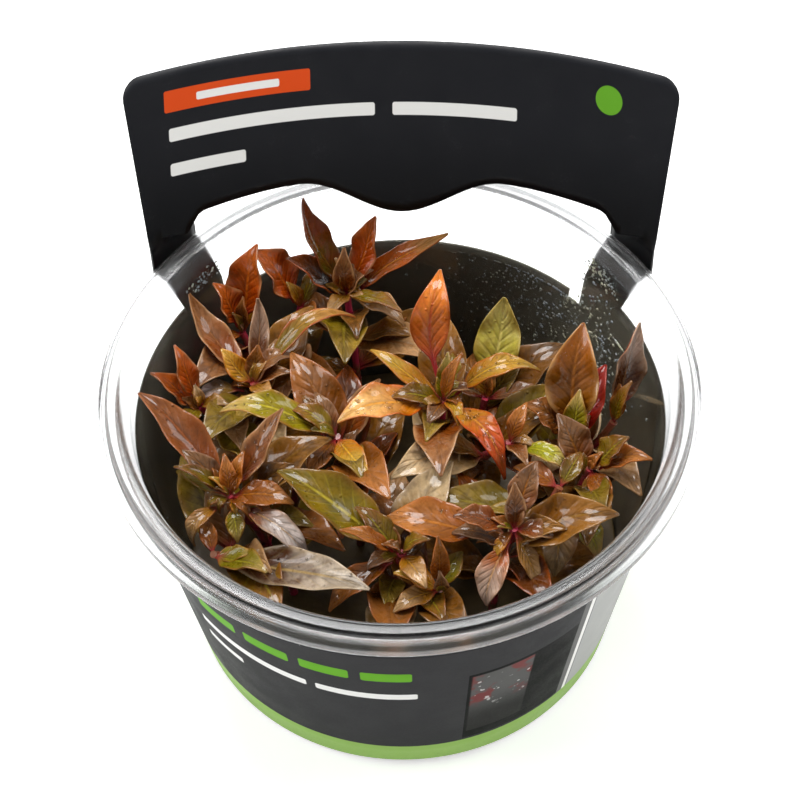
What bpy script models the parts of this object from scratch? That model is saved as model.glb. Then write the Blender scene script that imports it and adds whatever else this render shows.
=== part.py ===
"""Alternanthera reineckii growing in its clear culture cup, with the wrap-around label card.

Metres, +Z up. The cup stands on z = 0 with its axis on Z, and the label's header stands at the back, +Y.
"""

import math

import bmesh
import bpy
from mathutils import Matrix, Vector
from mathutils.bvhtree import BVHTree

MM = 0.001
GAP = 0.3 * MM

# Cup: a tapered tub with a lid seat and a hanging skirt round its mouth
CUP_HEIGHT = 61.5 * MM
RIM_RADIUS = 52.0 * MM
SEAT_RADIUS = 50.0 * MM
MOUTH_RADIUS = 47.3 * MM
FOOT_RADIUS = 38.3 * MM
FLOOR_TOP = 1.5 * MM
WALL_BOTTOM_RADIUS = 37.9 * MM
WALL_TOP_RADIUS = 45.95 * MM
WALL_TOP = 53.5 * MM
WALL = 0.9 * MM
CUP_STEPS = 40

# Growing gel, poured level in the bottom of the cup
GEL_TOP = 14.0 * MM

# Label: one card, a conical sleeve with a header that rises from it on two legs
CARD = 0.45 * MM
SLEEVE_BOTTOM = 1.5 * MM
SLEEVE_TOP = 51.5 * MM
SLEEVE_BOTTOM_RADIUS = 39.4 * MM
SLEEVE_FLARE = 0.1538
STRIP_TOP = 46.0 * MM
SLIT_BOTTOM = 44.0 * MM
STRIP_ANGLE = 42.0
LEG_INNER_ANGLE = 45.6
LEG_OUTER_ANGLE = 57.7
LEG_RADIUS = 52.85 * MM
HEADER_BACK = 28.2 * MM
HEADER_LEAN = 0.532
HEADER_BOW = 5.0 * MM
HEADER_HALF_WIDTH = 44.8 * MM
HEADER_FLARE = 0.134
HEADER_SIDE_HEIGHT = 29.0 * MM
HEADER_ARC = 3.2 * MM
HEADER_CORNER = 3.5 * MM
WINDOW_CORNER = 4.4 * MM
WINDOW_HUMP = 9.6 * MM
WINDOW_TAB = 4.5 * MM
LEG_COLUMNS = [LEG_INNER_ANGLE, 49.0, 52.5, 55.3, 56.9, LEG_OUTER_ANGLE]
STRIP_CELLS = 12
FRONT_CELLS = 28
SLEEVE_ROWS = [SLEEVE_BOTTOM, SLIT_BOTTOM, STRIP_TOP, SLEEVE_TOP]
LEG_ROWS = [-7.0 * MM, -4.0 * MM, -1.0 * MM, 2.0 * MM]
HEADER_ROWS = 3

# Leaves and stems
LEAF_THICKNESS = 0.5 * MM
LEAF_START = 1.8 * MM
LEAF_CELLS = (5, 2)
LEAF_LEAST = 0.35 * MM
SMALL_LEAF_ARCH = 1.0
LEAF_KEEL = 0.3 * MM
LEAF_FOLD = 0.25
# Where a keeled leaf's start, sections and tip lie along it, and half their width as a share of the leaf's
KEEL_SECTIONS = {-2: (0.0, 0.0), -1: (0.33, 0.5), 1: (0.7, 0.4), 2: (1.0, 0.0)}

# Old leaves lower down: pairs on both sides of the stem, each leaf as long as the room around it allows
STEM_PAIRS = (0.86, 0.68, 0.48)
BRANCH_PAIRS = (0.65,)
PAIR_TURNS = (0, 30, 60, 90, 120, 150)
OLD_REACHES = (20, 17, 15)
OLD_WIDTH = 0.42
OLD_WIDTH_RANGE = (4.2, 7.0)
OLD_ARCH = 2.0
OLD_RISE = (0.0, 28.0)
OLD_ROOM = 0.4 * MM

STEM_RADIUS = 0.75 * MM
STEM_TOP = 0.5 * MM
STEM_CELLS = 4
STEM_FORK = 2


def clear_scene():
    for old in list(bpy.data.objects):
        bpy.data.objects.remove(old, do_unlink=True)


def new_collection(name):
    made = bpy.data.collections.new(name)
    bpy.context.scene.collection.children.link(made)
    return made


def finish(name, colour, roughness, transmission=0.0, alpha=1.0):
    """A Principled material, with the values read from the photograph."""
    made = bpy.data.materials.new(name)
    made.use_nodes = True
    shader = made.node_tree.nodes["Principled BSDF"]
    shader.inputs["Base Color"].default_value = (*colour, 1.0)
    shader.inputs["Roughness"].default_value = roughness
    shader.inputs["Metallic"].default_value = 0.0
    shader.inputs["Transmission Weight"].default_value = transmission
    shader.inputs["Alpha"].default_value = alpha
    made.diffuse_color = (*colour, alpha)
    return made


def add_object(name, data, material, collection, smooth_angle=None):
    made = bpy.data.objects.new(name, data)
    made.data.materials.append(material)
    collection.objects.link(made)
    if smooth_angle is not None:
        made.data.shade_smooth()
        made.data.set_sharp_from_angle(angle=math.radians(smooth_angle))
    return made


def wall_radius(z):
    """Inner radius of the cup's tapered wall at height z."""
    share = (z - FLOOR_TOP) / (WALL_TOP - FLOOR_TOP)
    return WALL_BOTTOM_RADIUS + share * (WALL_TOP_RADIUS - WALL_BOTTOM_RADIUS)


def turned(name, profile, material, collection):
    """A turned solid: the profile runs up the inside and down the outside, from the axis back to it."""
    mesh = bpy.data.meshes.new(name)
    points = [(radius, 0.0, height) for radius, height in profile]
    mesh.from_pydata(points, [(i, i + 1) for i in range(len(points) - 1)], [])
    made = add_object(name, mesh, material, collection)
    screw = made.modifiers.new("Turn", "SCREW")
    screw.axis = "Z"
    screw.steps = CUP_STEPS
    screw.render_steps = CUP_STEPS
    screw.use_merge_vertices = True
    screw.merge_threshold = 0.00001
    screw.use_smooth_shade = True
    return made


def build_cup(material, collection):
    top = CUP_HEIGHT
    profile = [
        (0.0, FLOOR_TOP),
        (WALL_BOTTOM_RADIUS - 1.3 * MM, FLOOR_TOP),
        (WALL_BOTTOM_RADIUS, FLOOR_TOP + 1.2 * MM),
        (WALL_TOP_RADIUS, WALL_TOP),
        (WALL_TOP_RADIUS + 0.6 * MM, top - 3.0 * MM),
        (MOUTH_RADIUS, top - 0.7 * MM),
        (MOUTH_RADIUS + 0.7 * MM, top),
        (SEAT_RADIUS, top),
        (SEAT_RADIUS + 0.5 * MM, top - 1.2 * MM),
        (RIM_RADIUS - 0.4 * MM, top - 1.5 * MM),
        (RIM_RADIUS, top - 2.0 * MM),
        (RIM_RADIUS, top - 3.6 * MM),
        (RIM_RADIUS - 0.7 * MM, top - 3.8 * MM),
        (RIM_RADIUS - 0.9 * MM, top - 2.6 * MM),
        (SEAT_RADIUS - 1.2 * MM, top - 2.2 * MM),
        (WALL_TOP_RADIUS + WALL + 0.6 * MM, top - 4.6 * MM),
        (WALL_TOP_RADIUS + WALL, WALL_TOP),
        (FOOT_RADIUS + 0.5 * MM, 1.6 * MM),
        (FOOT_RADIUS, 0.4 * MM),
        (FOOT_RADIUS - 0.9 * MM, 0.0),
        (FOOT_RADIUS - 3.8 * MM, 0.0),
        (FOOT_RADIUS - 4.5 * MM, 0.6 * MM),
        (0.0, 0.6 * MM),
    ]
    return turned("cup", profile, material, collection)


def build_gel(material, collection):
    low = FLOOR_TOP + GAP
    profile = [
        (0.0, low),
        (wall_radius(low) - 2.0 * MM, low),
        (wall_radius(low + 1.5 * MM) - GAP, low + 1.5 * MM),
        (wall_radius(GEL_TOP) - GAP, GEL_TOP),
        (0.0, GEL_TOP),
    ]
    profile.reverse()
    return turned("gel", profile, material, collection)


def sleeve_radius(z):
    """Radius of the middle of the card where it wraps the cup."""
    return SLEEVE_BOTTOM_RADIUS + (z - SLEEVE_BOTTOM) * SLEEVE_FLARE


def header_point(across, up):
    """A point of the leaning header: across from -1 to 1, up from the level of the rim's top."""
    x = across * (HEADER_HALF_WIDTH + HEADER_FLARE * up)
    y = HEADER_BACK + HEADER_LEAN * up + HEADER_BOW * (1.0 - across * across)
    return Vector((x, y, CUP_HEIGHT + up))


def leg_radius(up):
    """The legs swing out under the rim and pass outside it; up is measured from the rim's top."""
    low = SLEEVE_TOP - CUP_HEIGHT
    knee = -4.0 * MM
    if up >= knee:
        return LEG_RADIUS
    share = (up - low) / (knee - low)
    start = sleeve_radius(SLEEVE_TOP)
    return start + (LEG_RADIUS - start) * share**1.2


def window_edge(across):
    """Height of the window's upper edge above the rim: rounded corners, two humps and a hanging tab."""
    side = abs(across)
    inner = math.sin(math.radians(LEG_INNER_ANGLE)) / math.sin(math.radians(LEG_OUTER_ANGLE))
    share = min(side / inner, 1.0)
    if share < 0.45:
        wave = 0.5 - 0.5 * math.cos(math.pi * share / 0.45)
        return WINDOW_TAB + (WINDOW_HUMP - WINDOW_TAB) * wave
    fall = (share - 0.45) / 0.55
    edge = WINDOW_HUMP - (WINDOW_HUMP - WINDOW_CORNER - 1.6 * MM) * fall**1.4
    return edge - 2.6 * MM * max(0.0, (share - 0.9) / 0.1) ** 2


def header_edge(across):
    """Height of the header's top edge above the rim, with its rounded corners."""
    edge = HEADER_SIDE_HEIGHT + HEADER_ARC * (1.0 - across * across)
    from_side = (1.0 - abs(across)) * (HEADER_HALF_WIDTH + HEADER_FLARE * HEADER_SIDE_HEIGHT)
    if from_side < HEADER_CORNER:
        inset = HEADER_CORNER - from_side
        edge -= HEADER_CORNER - math.sqrt(max(0.0, HEADER_CORNER**2 - inset**2))
    return edge


def label_columns():
    """Angles round the cup from the back, +Y, going over +X to the front and round again."""
    left = [-angle for angle in reversed(LEG_COLUMNS)]
    strip = [-STRIP_ANGLE + 2.0 * STRIP_ANGLE * k / STRIP_CELLS for k in range(STRIP_CELLS + 1)]
    span = 360.0 - 2.0 * LEG_OUTER_ANGLE
    front = [LEG_OUTER_ANGLE + span * k / FRONT_CELLS for k in range(1, FRONT_CELLS + 1)]
    return left + strip + LEG_COLUMNS + front


def label_point(angle, row):
    """The place on the card of one column angle and one row number."""
    turn = math.radians(angle)
    if row < len(SLEEVE_ROWS):
        z = SLEEVE_ROWS[row]
        if row == len(SLEEVE_ROWS) - 2 and abs(angle) > STRIP_ANGLE:
            z = (STRIP_TOP + SLEEVE_TOP) / 2.0
        radius = sleeve_radius(z)
        return Vector((radius * math.sin(turn), radius * math.cos(turn), z))
    across = math.sin(turn) / math.sin(math.radians(LEG_OUTER_ANGLE))
    across = max(-1.0, min(1.0, across))
    step = row - len(SLEEVE_ROWS)
    if step < len(LEG_ROWS):
        up = LEG_ROWS[step]
        radius = leg_radius(up)
        ring = Vector((radius * math.sin(turn), radius * math.cos(turn), CUP_HEIGHT + up))
        if up <= 0.0:
            return ring
        return ring.lerp(header_point(across, up), 0.16)
    share = (step - len(LEG_ROWS)) / HEADER_ROWS
    low = window_edge(across)
    return header_point(across, low + (header_edge(across) - low) * share)


def card_is_there(angle, row):
    """Whether the card has a cell between this column and row and the next ones."""
    side = min(abs(angle), abs(360.0 - angle))
    if row == 0:
        return True
    if row == 1:
        return not STRIP_ANGLE < side < LEG_INNER_ANGLE
    if row == 2:
        return side > LEG_INNER_ANGLE
    if row < len(SLEEVE_ROWS) + len(LEG_ROWS):
        return LEG_INNER_ANGLE < side < LEG_OUTER_ANGLE
    return side < LEG_OUTER_ANGLE


def build_label(material, collection):
    columns = label_columns()
    across = len(columns) - 1
    up = len(SLEEVE_ROWS) + len(LEG_ROWS) + HEADER_ROWS
    bm = bmesh.new()
    bmesh.ops.create_grid(bm, x_segments=across, y_segments=up, size=1.0)
    place = {}
    for vert in bm.verts:
        place[vert] = (round((vert.co.x + 1.0) / 2.0 * across), round((vert.co.y + 1.0) / 2.0 * up))
    spare = []
    for face in bm.faces:
        column = min(place[vert][0] for vert in face.verts)
        row = min(place[vert][1] for vert in face.verts)
        middle = (columns[column] + columns[column + 1]) / 2.0
        if not card_is_there(middle, row):
            spare.append(face)
    for vert, (column, row) in place.items():
        vert.co = label_point(columns[column], row)
    bmesh.ops.delete(bm, geom=spare, context="FACES")
    bmesh.ops.remove_doubles(bm, verts=bm.verts, dist=0.00001)
    bmesh.ops.recalc_face_normals(bm, faces=bm.faces)
    mesh = bpy.data.meshes.new("label")
    bm.to_mesh(mesh)
    bm.free()
    made = add_object("label", mesh, material, collection, smooth_angle=40)
    card = made.modifiers.new("Card", "SOLIDIFY")
    card.thickness = CARD
    card.offset = 0.0
    return made


def direction(heading, rise):
    """Unit vector: heading in degrees from +X towards +Y, rise in degrees above level."""
    turn, lift = math.radians(heading), math.radians(rise)
    return Vector((math.cos(turn) * math.cos(lift), math.sin(turn) * math.cos(lift), math.sin(lift)))


def leaf_width(share, petiole):
    """Half width of the blade as a share of its widest: a narrow stalk, then a lance-shaped blade."""
    if share <= petiole:
        return 0.13
    blade = (share - petiole) / (1.0 - petiole)
    return 0.13 * (1.0 - blade) + 0.93 * math.sin(math.pi * blade**0.8) ** 0.9 + 0.02


def build_leaf(name, hub, leaf, material, collection):
    """One leaf from its node on the stem: a folded, arched blade that tapers to a point."""
    heading, rise, reach, width, arch, fold, roll, down, petiole = leaf
    along = direction(heading, rise)
    side = Vector((-math.sin(math.radians(heading)), math.cos(math.radians(heading)), 0.0))
    lift = along.cross(side)
    start = hub - Vector((0.0, 0.0, down * MM)) + along * LEAF_START
    length = reach * MM - LEAF_START
    turn = Matrix.Rotation(math.radians(roll), 3, along)
    side = turn @ side
    blade_up = turn @ lift
    bm = bmesh.new()
    bmesh.ops.create_grid(bm, x_segments=LEAF_CELLS[0], y_segments=LEAF_CELLS[1], size=1.0)
    for vert in bm.verts:
        share = (vert.co.x + 1.0) / 2.0
        across = vert.co.y
        half = max(LEAF_LEAST, leaf_width(share, petiole) * width * MM / 2.0)
        bow = 4.0 * share * (1.0 - share) * arch * MM
        fold_up = abs(across) * half * math.tan(math.radians(fold))
        middle = start + along * (length * share) + lift * bow
        vert.co = middle + side * (across * half) + blade_up * fold_up
    mesh = bpy.data.meshes.new(name)
    bm.to_mesh(mesh)
    bm.free()
    made = add_object(name, mesh, material, collection, smooth_angle=60)
    thick = made.modifiers.new("Thickness", "SOLIDIFY")
    thick.thickness = LEAF_THICKNESS
    thick.offset = 0.0
    return made


def keeled_leaf(start, leaf, room=0.0):
    """A leaf with few faces that grows from inside its stem: two sections with a keel, between a start and a tip."""
    heading, rise, reach, width, arch = leaf
    along = direction(heading, rise)
    side = Vector((-math.sin(math.radians(heading)), math.cos(math.radians(heading)), 0.0))
    lift = along.cross(side)
    bm = bmesh.new()
    bmesh.ops.create_uvsphere(bm, u_segments=3, v_segments=3, radius=1.0)
    for vert in bm.verts:
        place = round(2.0 * vert.co.z)
        share, wide = KEEL_SECTIONS[place]
        half = wide * width * MM + room
        middle = start + along * ((reach * MM + room) * share) + lift * (4.0 * share * (1.0 - share) * arch * MM)
        if abs(place) == 1 and abs(vert.co.x) < 0.1:
            middle -= lift * (LEAF_KEEL + room)
        elif abs(place) == 1:
            middle += side * math.copysign(half, -vert.co.x) + lift * (half * LEAF_FOLD + room)
        vert.co = middle
    return bm


def add_keeled_leaf(name, start, leaf, stem, material, helpers):
    mesh = bpy.data.meshes.new(name)
    bm = keeled_leaf(start, leaf)
    bm.to_mesh(mesh)
    bm.free()
    fuse(stem, add_object(name, mesh, material, helpers, smooth_angle=60), "Leaf")


def stem_tube(name, points, material, collection):
    """A slender round stem through its points, as a closed mesh."""
    curve = bpy.data.curves.new(name, "CURVE")
    curve.dimensions = "3D"
    curve.bevel_depth = STEM_RADIUS
    curve.bevel_resolution = 0
    curve.use_fill_caps = True
    spline = curve.splines.new("POLY")
    spline.points.add(len(points) - 1)
    for knot, place in zip(spline.points, points):
        knot.co = (*place, 1.0)
    guide = bpy.data.objects.new(name + "_path", curve)
    bpy.context.scene.collection.objects.link(guide)
    graph = bpy.context.evaluated_depsgraph_get()
    mesh = bpy.data.meshes.new_from_object(guide.evaluated_get(graph))
    bpy.data.objects.remove(guide, do_unlink=True)
    bm = bmesh.new()
    bm.from_mesh(mesh)
    bmesh.ops.remove_doubles(bm, verts=bm.verts, dist=0.00001)
    bm.to_mesh(mesh)
    bm.free()
    mesh.materials.clear()
    return add_object(name, mesh, material, collection, smooth_angle=50)


def stem_points(foot, hub):
    """A stem that starts upright and leans over to its node, as a few points."""
    low = Vector((foot[0] * MM, foot[1] * MM, GEL_TOP + GAP))
    high = hub + Vector((0.0, 0.0, STEM_TOP))
    middle = Vector(((low.x * 2.0 + high.x) / 3.0, (low.y * 2.0 + high.y) / 3.0, (low.z + high.z) / 2.0))
    points = []
    for k in range(STEM_CELLS + 1):
        t = k / STEM_CELLS
        points.append(low * (1 - t) ** 2 + middle * (2 * t * (1 - t)) + high * t**2)
    return points


def fuse(stem, piece, label):
    """Joins a helper piece to the stem that it grows from."""
    piece.hide_render = True
    piece.display_type = "WIRE"
    join = stem.modifiers.new(label, "BOOLEAN")
    join.operation = "UNION"
    join.solver = "EXACT"
    join.object = piece


def branch_points(main, hub):
    """A side branch that leaves the stem and leans over to its own node."""
    fork = main[STEM_FORK]
    high = hub + Vector((0.0, 0.0, STEM_TOP))
    bend = Vector(((fork.x + 2 * high.x) / 3.0, (fork.y + 2 * high.y) / 3.0, (fork.z + high.z) / 2.0))
    return [fork * (1 - t) ** 2 + bend * (2 * t * (1 - t)) + high * t**2 for t in (0.0, 0.3, 0.6, 1.0)]


def build_stem(name, foot, carried, nodes, material, collection, helpers):
    """A stem to its first node, with a side branch to the second, and the young leaves of both."""
    main = stem_points(foot, nodes[carried[0]])
    made = stem_tube(name, main, material, collection)
    lines = [(main, STEM_PAIRS)]
    if len(carried) > 1:
        branch = branch_points(main, nodes[carried[1]])
        lines.append((branch, BRANCH_PAIRS))
        fuse(made, stem_tube(name + "_branch", branch, material, helpers), "Fork")
    for node in carried:
        for number, (heading, rise, reach, width) in enumerate(SMALL_LEAVES[node], start=1):
            leaf = (heading, rise, reach, width, SMALL_LEAF_ARCH)
            add_keeled_leaf(f"small_leaf_{node}_{number}", nodes[node], leaf, made, material, helpers)
    return made, lines


def along_line(points, share):
    """The place at a share of a line of points."""
    place = share * (len(points) - 1)
    first = min(int(place), len(points) - 2)
    return points[first].lerp(points[first + 1], place - first)


def old_leaf(heading, rise, reach):
    width = min(OLD_WIDTH_RANGE[1], max(OLD_WIDTH_RANGE[0], reach * OLD_WIDTH))
    return (heading, rise, reach, width, OLD_ARCH)


def grow_pair(start, turn, rise, taken):
    """The two opposite leaves that have room, each with the tree of the space that it takes."""
    grown = []
    for heading in (turn, turn + 180):
        for reach in OLD_REACHES:
            leaf = old_leaf(heading, rise, reach)
            bm = keeled_leaf(start, leaf, OLD_ROOM)
            tree = BVHTree.FromBMesh(bm)
            bm.free()
            if not any(tree.overlap(other) for other in taken):
                grown.append((leaf, tree))
                break
    return grown


def grow_old_leaves(stems, pieces, material, helpers):
    """Old leaves on every stem from the top pair down, clear of every other piece and of each other."""
    bpy.context.view_layer.update()
    graph = bpy.context.evaluated_depsgraph_get()
    trees = {piece.name: BVHTree.FromObject(piece, graph) for piece in pieces}
    old = []
    pairs = []
    for made, lines in stems:
        for line, shares in lines:
            pairs += [(along_line(line, share), share, made) for share in shares]
    pairs.sort(key=lambda pair: -pair[0].z)
    for number, (start, share, stem) in enumerate(pairs, start=1):
        taken = [tree for name, tree in trees.items() if name != stem.name] + old
        rise = OLD_RISE[0] + (OLD_RISE[1] - OLD_RISE[0]) * share
        choices = [grow_pair(start, turn, rise, taken) for turn in PAIR_TURNS]
        best = max(choices, key=lambda grown: sum(leaf[2] for leaf, tree in grown))
        for side, (leaf, tree) in enumerate(best, start=1):
            add_keeled_leaf(f"old_leaf_{number}_{side}", start, leaf, stem, material, helpers)
            old.append(tree)


# Each shoot's node, where its leaves spring from, in millimetres
NODES = {
    "back_left": (-29.5, 25.0, 44.0),
    "back_left_inner": (-19.0, 31.0, 44.0),
    "back": (-10.5, 33.0, 46.0),
    "left": (-26.5, 11.0, 47.0),
    "left_edge": (-36.0, 6.5, 46.0),
    "front_left": (-29.0, -15.5, 50.0),
    "front_left_low": (-31.5, -25.0, 46.0),
    "front": (0.5, -26.0, 48.0),
    "front_low": (7.0, -30.5, 44.0),
    "middle_left": (-11.0, -3.0, 50.0),
    "centre": (7.5, 5.0, 50.0),
    "centre_right": (19.0, -3.5, 49.0),
    "middle_back": (15.0, 10.0, 44.0),
    "right": (30.0, -0.5, 46.0),
    "right_edge": (37.5, 2.5, 47.0),
    "right_low": (33.0, -7.0, 46.0),
    "front_right": (19.5, -23.5, 52.0),
    "front_right_low": (27.5, -13.0, 49.0),
}

# Each stem's foot on the gel, and the one or two nodes that it carries
STEMS = {
    "stem_back_left": ((-22.0, 20.0), ("back_left", "back_left_inner")),
    "stem_back": ((-8.0, 24.0), ("back",)),
    "stem_left": ((-20.0, 6.0), ("left", "left_edge")),
    "stem_front_left": ((-20.0, -12.0), ("front_left", "front_left_low")),
    "stem_front": ((-2.0, -20.0), ("front", "front_low")),
    "stem_middle_left": ((-8.0, -1.0), ("middle_left",)),
    "stem_centre": ((6.0, 2.0), ("centre", "centre_right")),
    "stem_middle_back": ((12.0, 9.0), ("middle_back",)),
    "stem_right": ((24.0, 1.0), ("right", "right_edge")),
    "stem_right_low": ((26.0, -8.0), ("right_low",)),
    "stem_front_right": ((16.0, -18.0), ("front_right", "front_right_low")),
}

# The leaves of each node: heading, rise, reach, width, arch, fold, roll, drop below the node, stalk share
LEAVES = {
    "back_left": [
        (145, 60, 12.0, 4.5, 0.5, 20, 0, 0, 0.15),
        (68, 60, 18.0, 5.5, -0.5, 20, 0, 0, 0.15),
    ],
    "back_left_inner": [(153, 47, 15.0, 7.0, 1.0, 20, 0, 0, 0.12)],
    "back": [
        (142, 65, 22.0, 6.0, -1.0, 30, 0, 0, 0.1),
        (42, 64, 17.5, 6.0, -1.0, 15, 0, 0, 0.12),
        (10, 40, 25.0, 4.5, 3.0, 20, 0, 3, 0.15),
        (172, 42, 15.0, 6.0, 1.0, 20, 0, 2, 0.12),
        (-36, 0, 13.5, 4.5, 2.5, 15, 0, 0, 0.12),
    ],
    "left": [
        (84, 53, 16.0, 3.5, -1.0, 30, 0, 0, 0.12),
        (132, 30, 20.0, 5.5, -2.0, 25, 0, 0, 0.12),
        (34, 13, 22.5, 3.5, 6.0, 15, 0, 1, 0.12),
        (-169, -16, 11.0, 3.5, 2.5, 15, 0, 1, 0.12),
    ],
    "left_edge": [
        (164, 46, 12.5, 4.5, 1.0, 20, 0, 2, 0.12),
        (125, 58, 13.0, 4.0, 1.0, 20, 0, 0, 0.12),
    ],
    "front_left": [
        (137, 24, 24.0, 6.5, 0.5, 25, 0, 0, 0.08),
        (49, 38, 18.0, 4.8, 0.0, 25, 0, 0, 0.1),
        (171, 36, 11.5, 2.7, 1.0, 25, 0, 0, 0.1),
        (-134, -34, 10.5, 3.0, 4.0, 15, 0, 0, 0.1),
        (-78, -30, 8.0, 3.2, 1.0, 20, 0, 0, 0.1),
        (-36, -19, 18.0, 4.5, 5.0, 15, 0, 1, 0.12),
    ],
    "front_left_low": [(-22, 13, 30.0, 9.0, 1.0, 20, 10, 0, 0.06)],
    "front": [
        (151, 18, 25.5, 9.0, 1.0, 25, 0, 0, 0.1),
        (-175, 41, 13.5, 3.2, 1.0, 20, 0, 0, 0.1),
        (-146, -19, 15.5, 4.6, 2.0, 20, 0, 0, 0.1),
    ],
    "front_low": [(96, 80, 13.5, 3.2, 0.5, 20, 0, 0, 0.1)],
    "middle_left": [
        (173, 11, 21.0, 6.0, 3.0, 15, 0, 0, 0.1),
        (60, 24, 16.0, 5.0, 0.5, 20, 0, 6, 0.1),
    ],
    "centre": [
        (92, 46, 23.5, 7.5, 0.0, 15, 0, 0, 0.3),
        (-159, 9, 20.0, 7.5, 1.5, 15, 0, 0, 0.12),
        (-54, -9, 18.5, 5.0, 5.0, 15, 0, 0, 0.1),
        (12, 13, 18.0, 4.5, 5.0, 15, 0, 0, 0.15),
    ],
    "centre_right": [(-28, -9, 12.0, 3.6, 3.5, 15, 0, 0, 0.1)],
    "middle_back": [(73, 55, 19.5, 8.0, -0.5, 20, 0, 0, 0.15)],
    "right": [
        (82, 52, 21.5, 9.0, 1.0, 30, 0, 0, 0.1),
        (155, 31, 11.0, 6.6, 2.0, 20, 0, 0.4, 0.1),
        (62, 36, 16.5, 6.0, 0.5, 20, 0, 3, 0.1),
    ],
    "right_edge": [(69, 52, 19.0, 4.5, -1.5, 25, 30, 0, 0.12)],
    "right_low": [
        (12, 50, 10.5, 5.0, 0.5, 20, 0, 0, 0.1),
        (-8, 27, 12.0, 4.3, 1.0, 20, 0, 0, 0.1),
        (130, 48, 13.4, 6.5, 0.5, 20, 0, 2.5, 0.1),
    ],
    "front_right": [
        (180, 21, 11.0, 4.8, 0.5, 20, 0, 0, 0.1),
        (172, 6, 22.5, 8.0, 1.5, 20, 0, 4, 0.25),
        (65, 45, 12.5, 5.0, 0.0, 25, 0, 0, 0.15),
        (-117, -45, 14.0, 5.0, 2.0, 20, 0, 0, 0.12),
    ],
    "front_right_low": [
        (-94, -33, 15.0, 6.5, 2.0, 20, 0, 0, 0.1),
        (-50, -37, 13.0, 4.6, 2.0, 20, 0, 2, 0.1),
    ],
}

# Young leaves that are fused to the stem that carries them: heading, rise, reach and width
SMALL_LEAVES = {
    "back_left": [(76, 14, 9, 3.5), (-134, 19, 8, 3)],
    "back_left_inner": [(61, 29, 9, 3.5), (-60, 30, 8, 3)],
    "back": [(-42, 23, 15.5, 4), (93, 85, 12, 4), (-110, 20, 10, 3.5)],
    "left": [(-8, 33, 9, 3), (-60, 25, 9, 3.5)],
    "left_edge": [(-115, 5, 6, 3.5), (-20, 30, 7, 3)],
    "front_left": [(139, -16, 13, 4), (-15, 11, 12, 5), (100, 55, 8, 3)],
    "front_left_low": [(104, 10, 7, 3)],
    "front": [(-10, 50, 8, 3.4), (-60, 10, 9, 4)],
    "front_low": [(176, 30, 9, 4), (60, 12, 8, 4), (-150, 0, 9, 4)],
    "middle_left": [(-60, 10, 12, 4.5), (120, 28, 9, 3.5), (-120, 0, 10, 4)],
    "centre": [(37, 68, 11.5, 2.7), (148, 16, 16, 3.5), (-114, 12, 7, 3.4)],
    "centre_right": [(60, 38, 8, 3), (-68, 26, 9, 3.2)],
    "middle_back": [(150, 12, 10, 4), (0, 15, 12, 4)],
    "right": [(-136, 4, 8, 3.5)],
    "right_edge": [(40, 68, 10, 3)],
    "right_low": [(-92, -35, 7, 2.8), (-68, 2, 9, 4)],
    "front_right": [(90, 60, 9, 3.6), (-14, 0, 7, 4), (-55, -50, 11, 3.5)],
    "front_right_low": [(60, 10, 8, 3.5), (150, 0, 9, 4)],
}


def main():
    clear_scene()
    parts = new_collection("alternanthera_reineckii_in_cup")
    helpers = new_collection("helpers")
    clear_plastic = finish("clear_plastic", (0.9, 0.92, 0.92), 0.05, transmission=1.0, alpha=0.3)
    card = finish("label_card", (0.02, 0.022, 0.027), 0.35)
    jelly = finish("growing_gel", (0.62, 0.58, 0.48), 0.2, transmission=0.6)
    foliage = finish("leaf", (0.22, 0.09, 0.03), 0.3)
    stalk = finish("stem", (0.5, 0.03, 0.1), 0.35)

    build_cup(clear_plastic, parts)
    build_gel(jelly, parts)
    build_label(card, parts)
    nodes = {name: Vector(place) * MM for name, place in NODES.items()}
    stems = []
    for name, (foot, carried) in STEMS.items():
        stems.append(build_stem(name, foot, carried, nodes, stalk, parts, helpers))
    for node, leaves in LEAVES.items():
        for number, leaf in enumerate(leaves, start=1):
            build_leaf(f"leaf_{node}_{number}", nodes[node], leaf, foliage, parts)
    grow_old_leaves(stems, parts.objects, stalk, helpers)


main()
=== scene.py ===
import random
from math import cos, degrees, pi, radians, sin, sqrt, tan

import bmesh
import bpy
from mathutils import Matrix, Vector
from mathutils.kdtree import KDTree


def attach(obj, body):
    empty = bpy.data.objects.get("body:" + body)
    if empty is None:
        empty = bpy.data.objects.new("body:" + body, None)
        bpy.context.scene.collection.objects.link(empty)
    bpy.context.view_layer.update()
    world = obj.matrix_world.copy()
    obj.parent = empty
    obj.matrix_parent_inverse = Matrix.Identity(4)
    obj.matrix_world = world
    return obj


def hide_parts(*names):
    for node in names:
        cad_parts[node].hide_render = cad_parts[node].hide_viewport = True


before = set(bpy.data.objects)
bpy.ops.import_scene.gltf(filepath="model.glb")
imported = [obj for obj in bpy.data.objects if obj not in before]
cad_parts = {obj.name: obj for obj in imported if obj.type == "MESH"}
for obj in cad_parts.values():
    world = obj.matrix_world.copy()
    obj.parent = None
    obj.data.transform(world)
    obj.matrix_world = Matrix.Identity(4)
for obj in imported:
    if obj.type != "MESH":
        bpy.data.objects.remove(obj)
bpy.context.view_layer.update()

mm = 0.001
print("frame loaded:", len(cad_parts), "nodes")


# colours are typed as 0 to 255, as a picture shows them

def tone(red, green, blue):
    def linear(value):
        share = value / 255
        return share / 12.92 if share <= 0.04045 else ((share + 0.055) / 1.055) ** 2.4
    return (linear(red), linear(green), linear(blue), 1)


white = tone(255, 255, 255)


# nodes: a value is a number, a colour or the socket that it comes from

def fill(node, values):
    for name, value in values.items():
        if isinstance(value, bpy.types.NodeSocket):
            node.id_data.links.new(value, node.inputs[name])
        else:
            node.inputs[name].default_value = value
    return node


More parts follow.
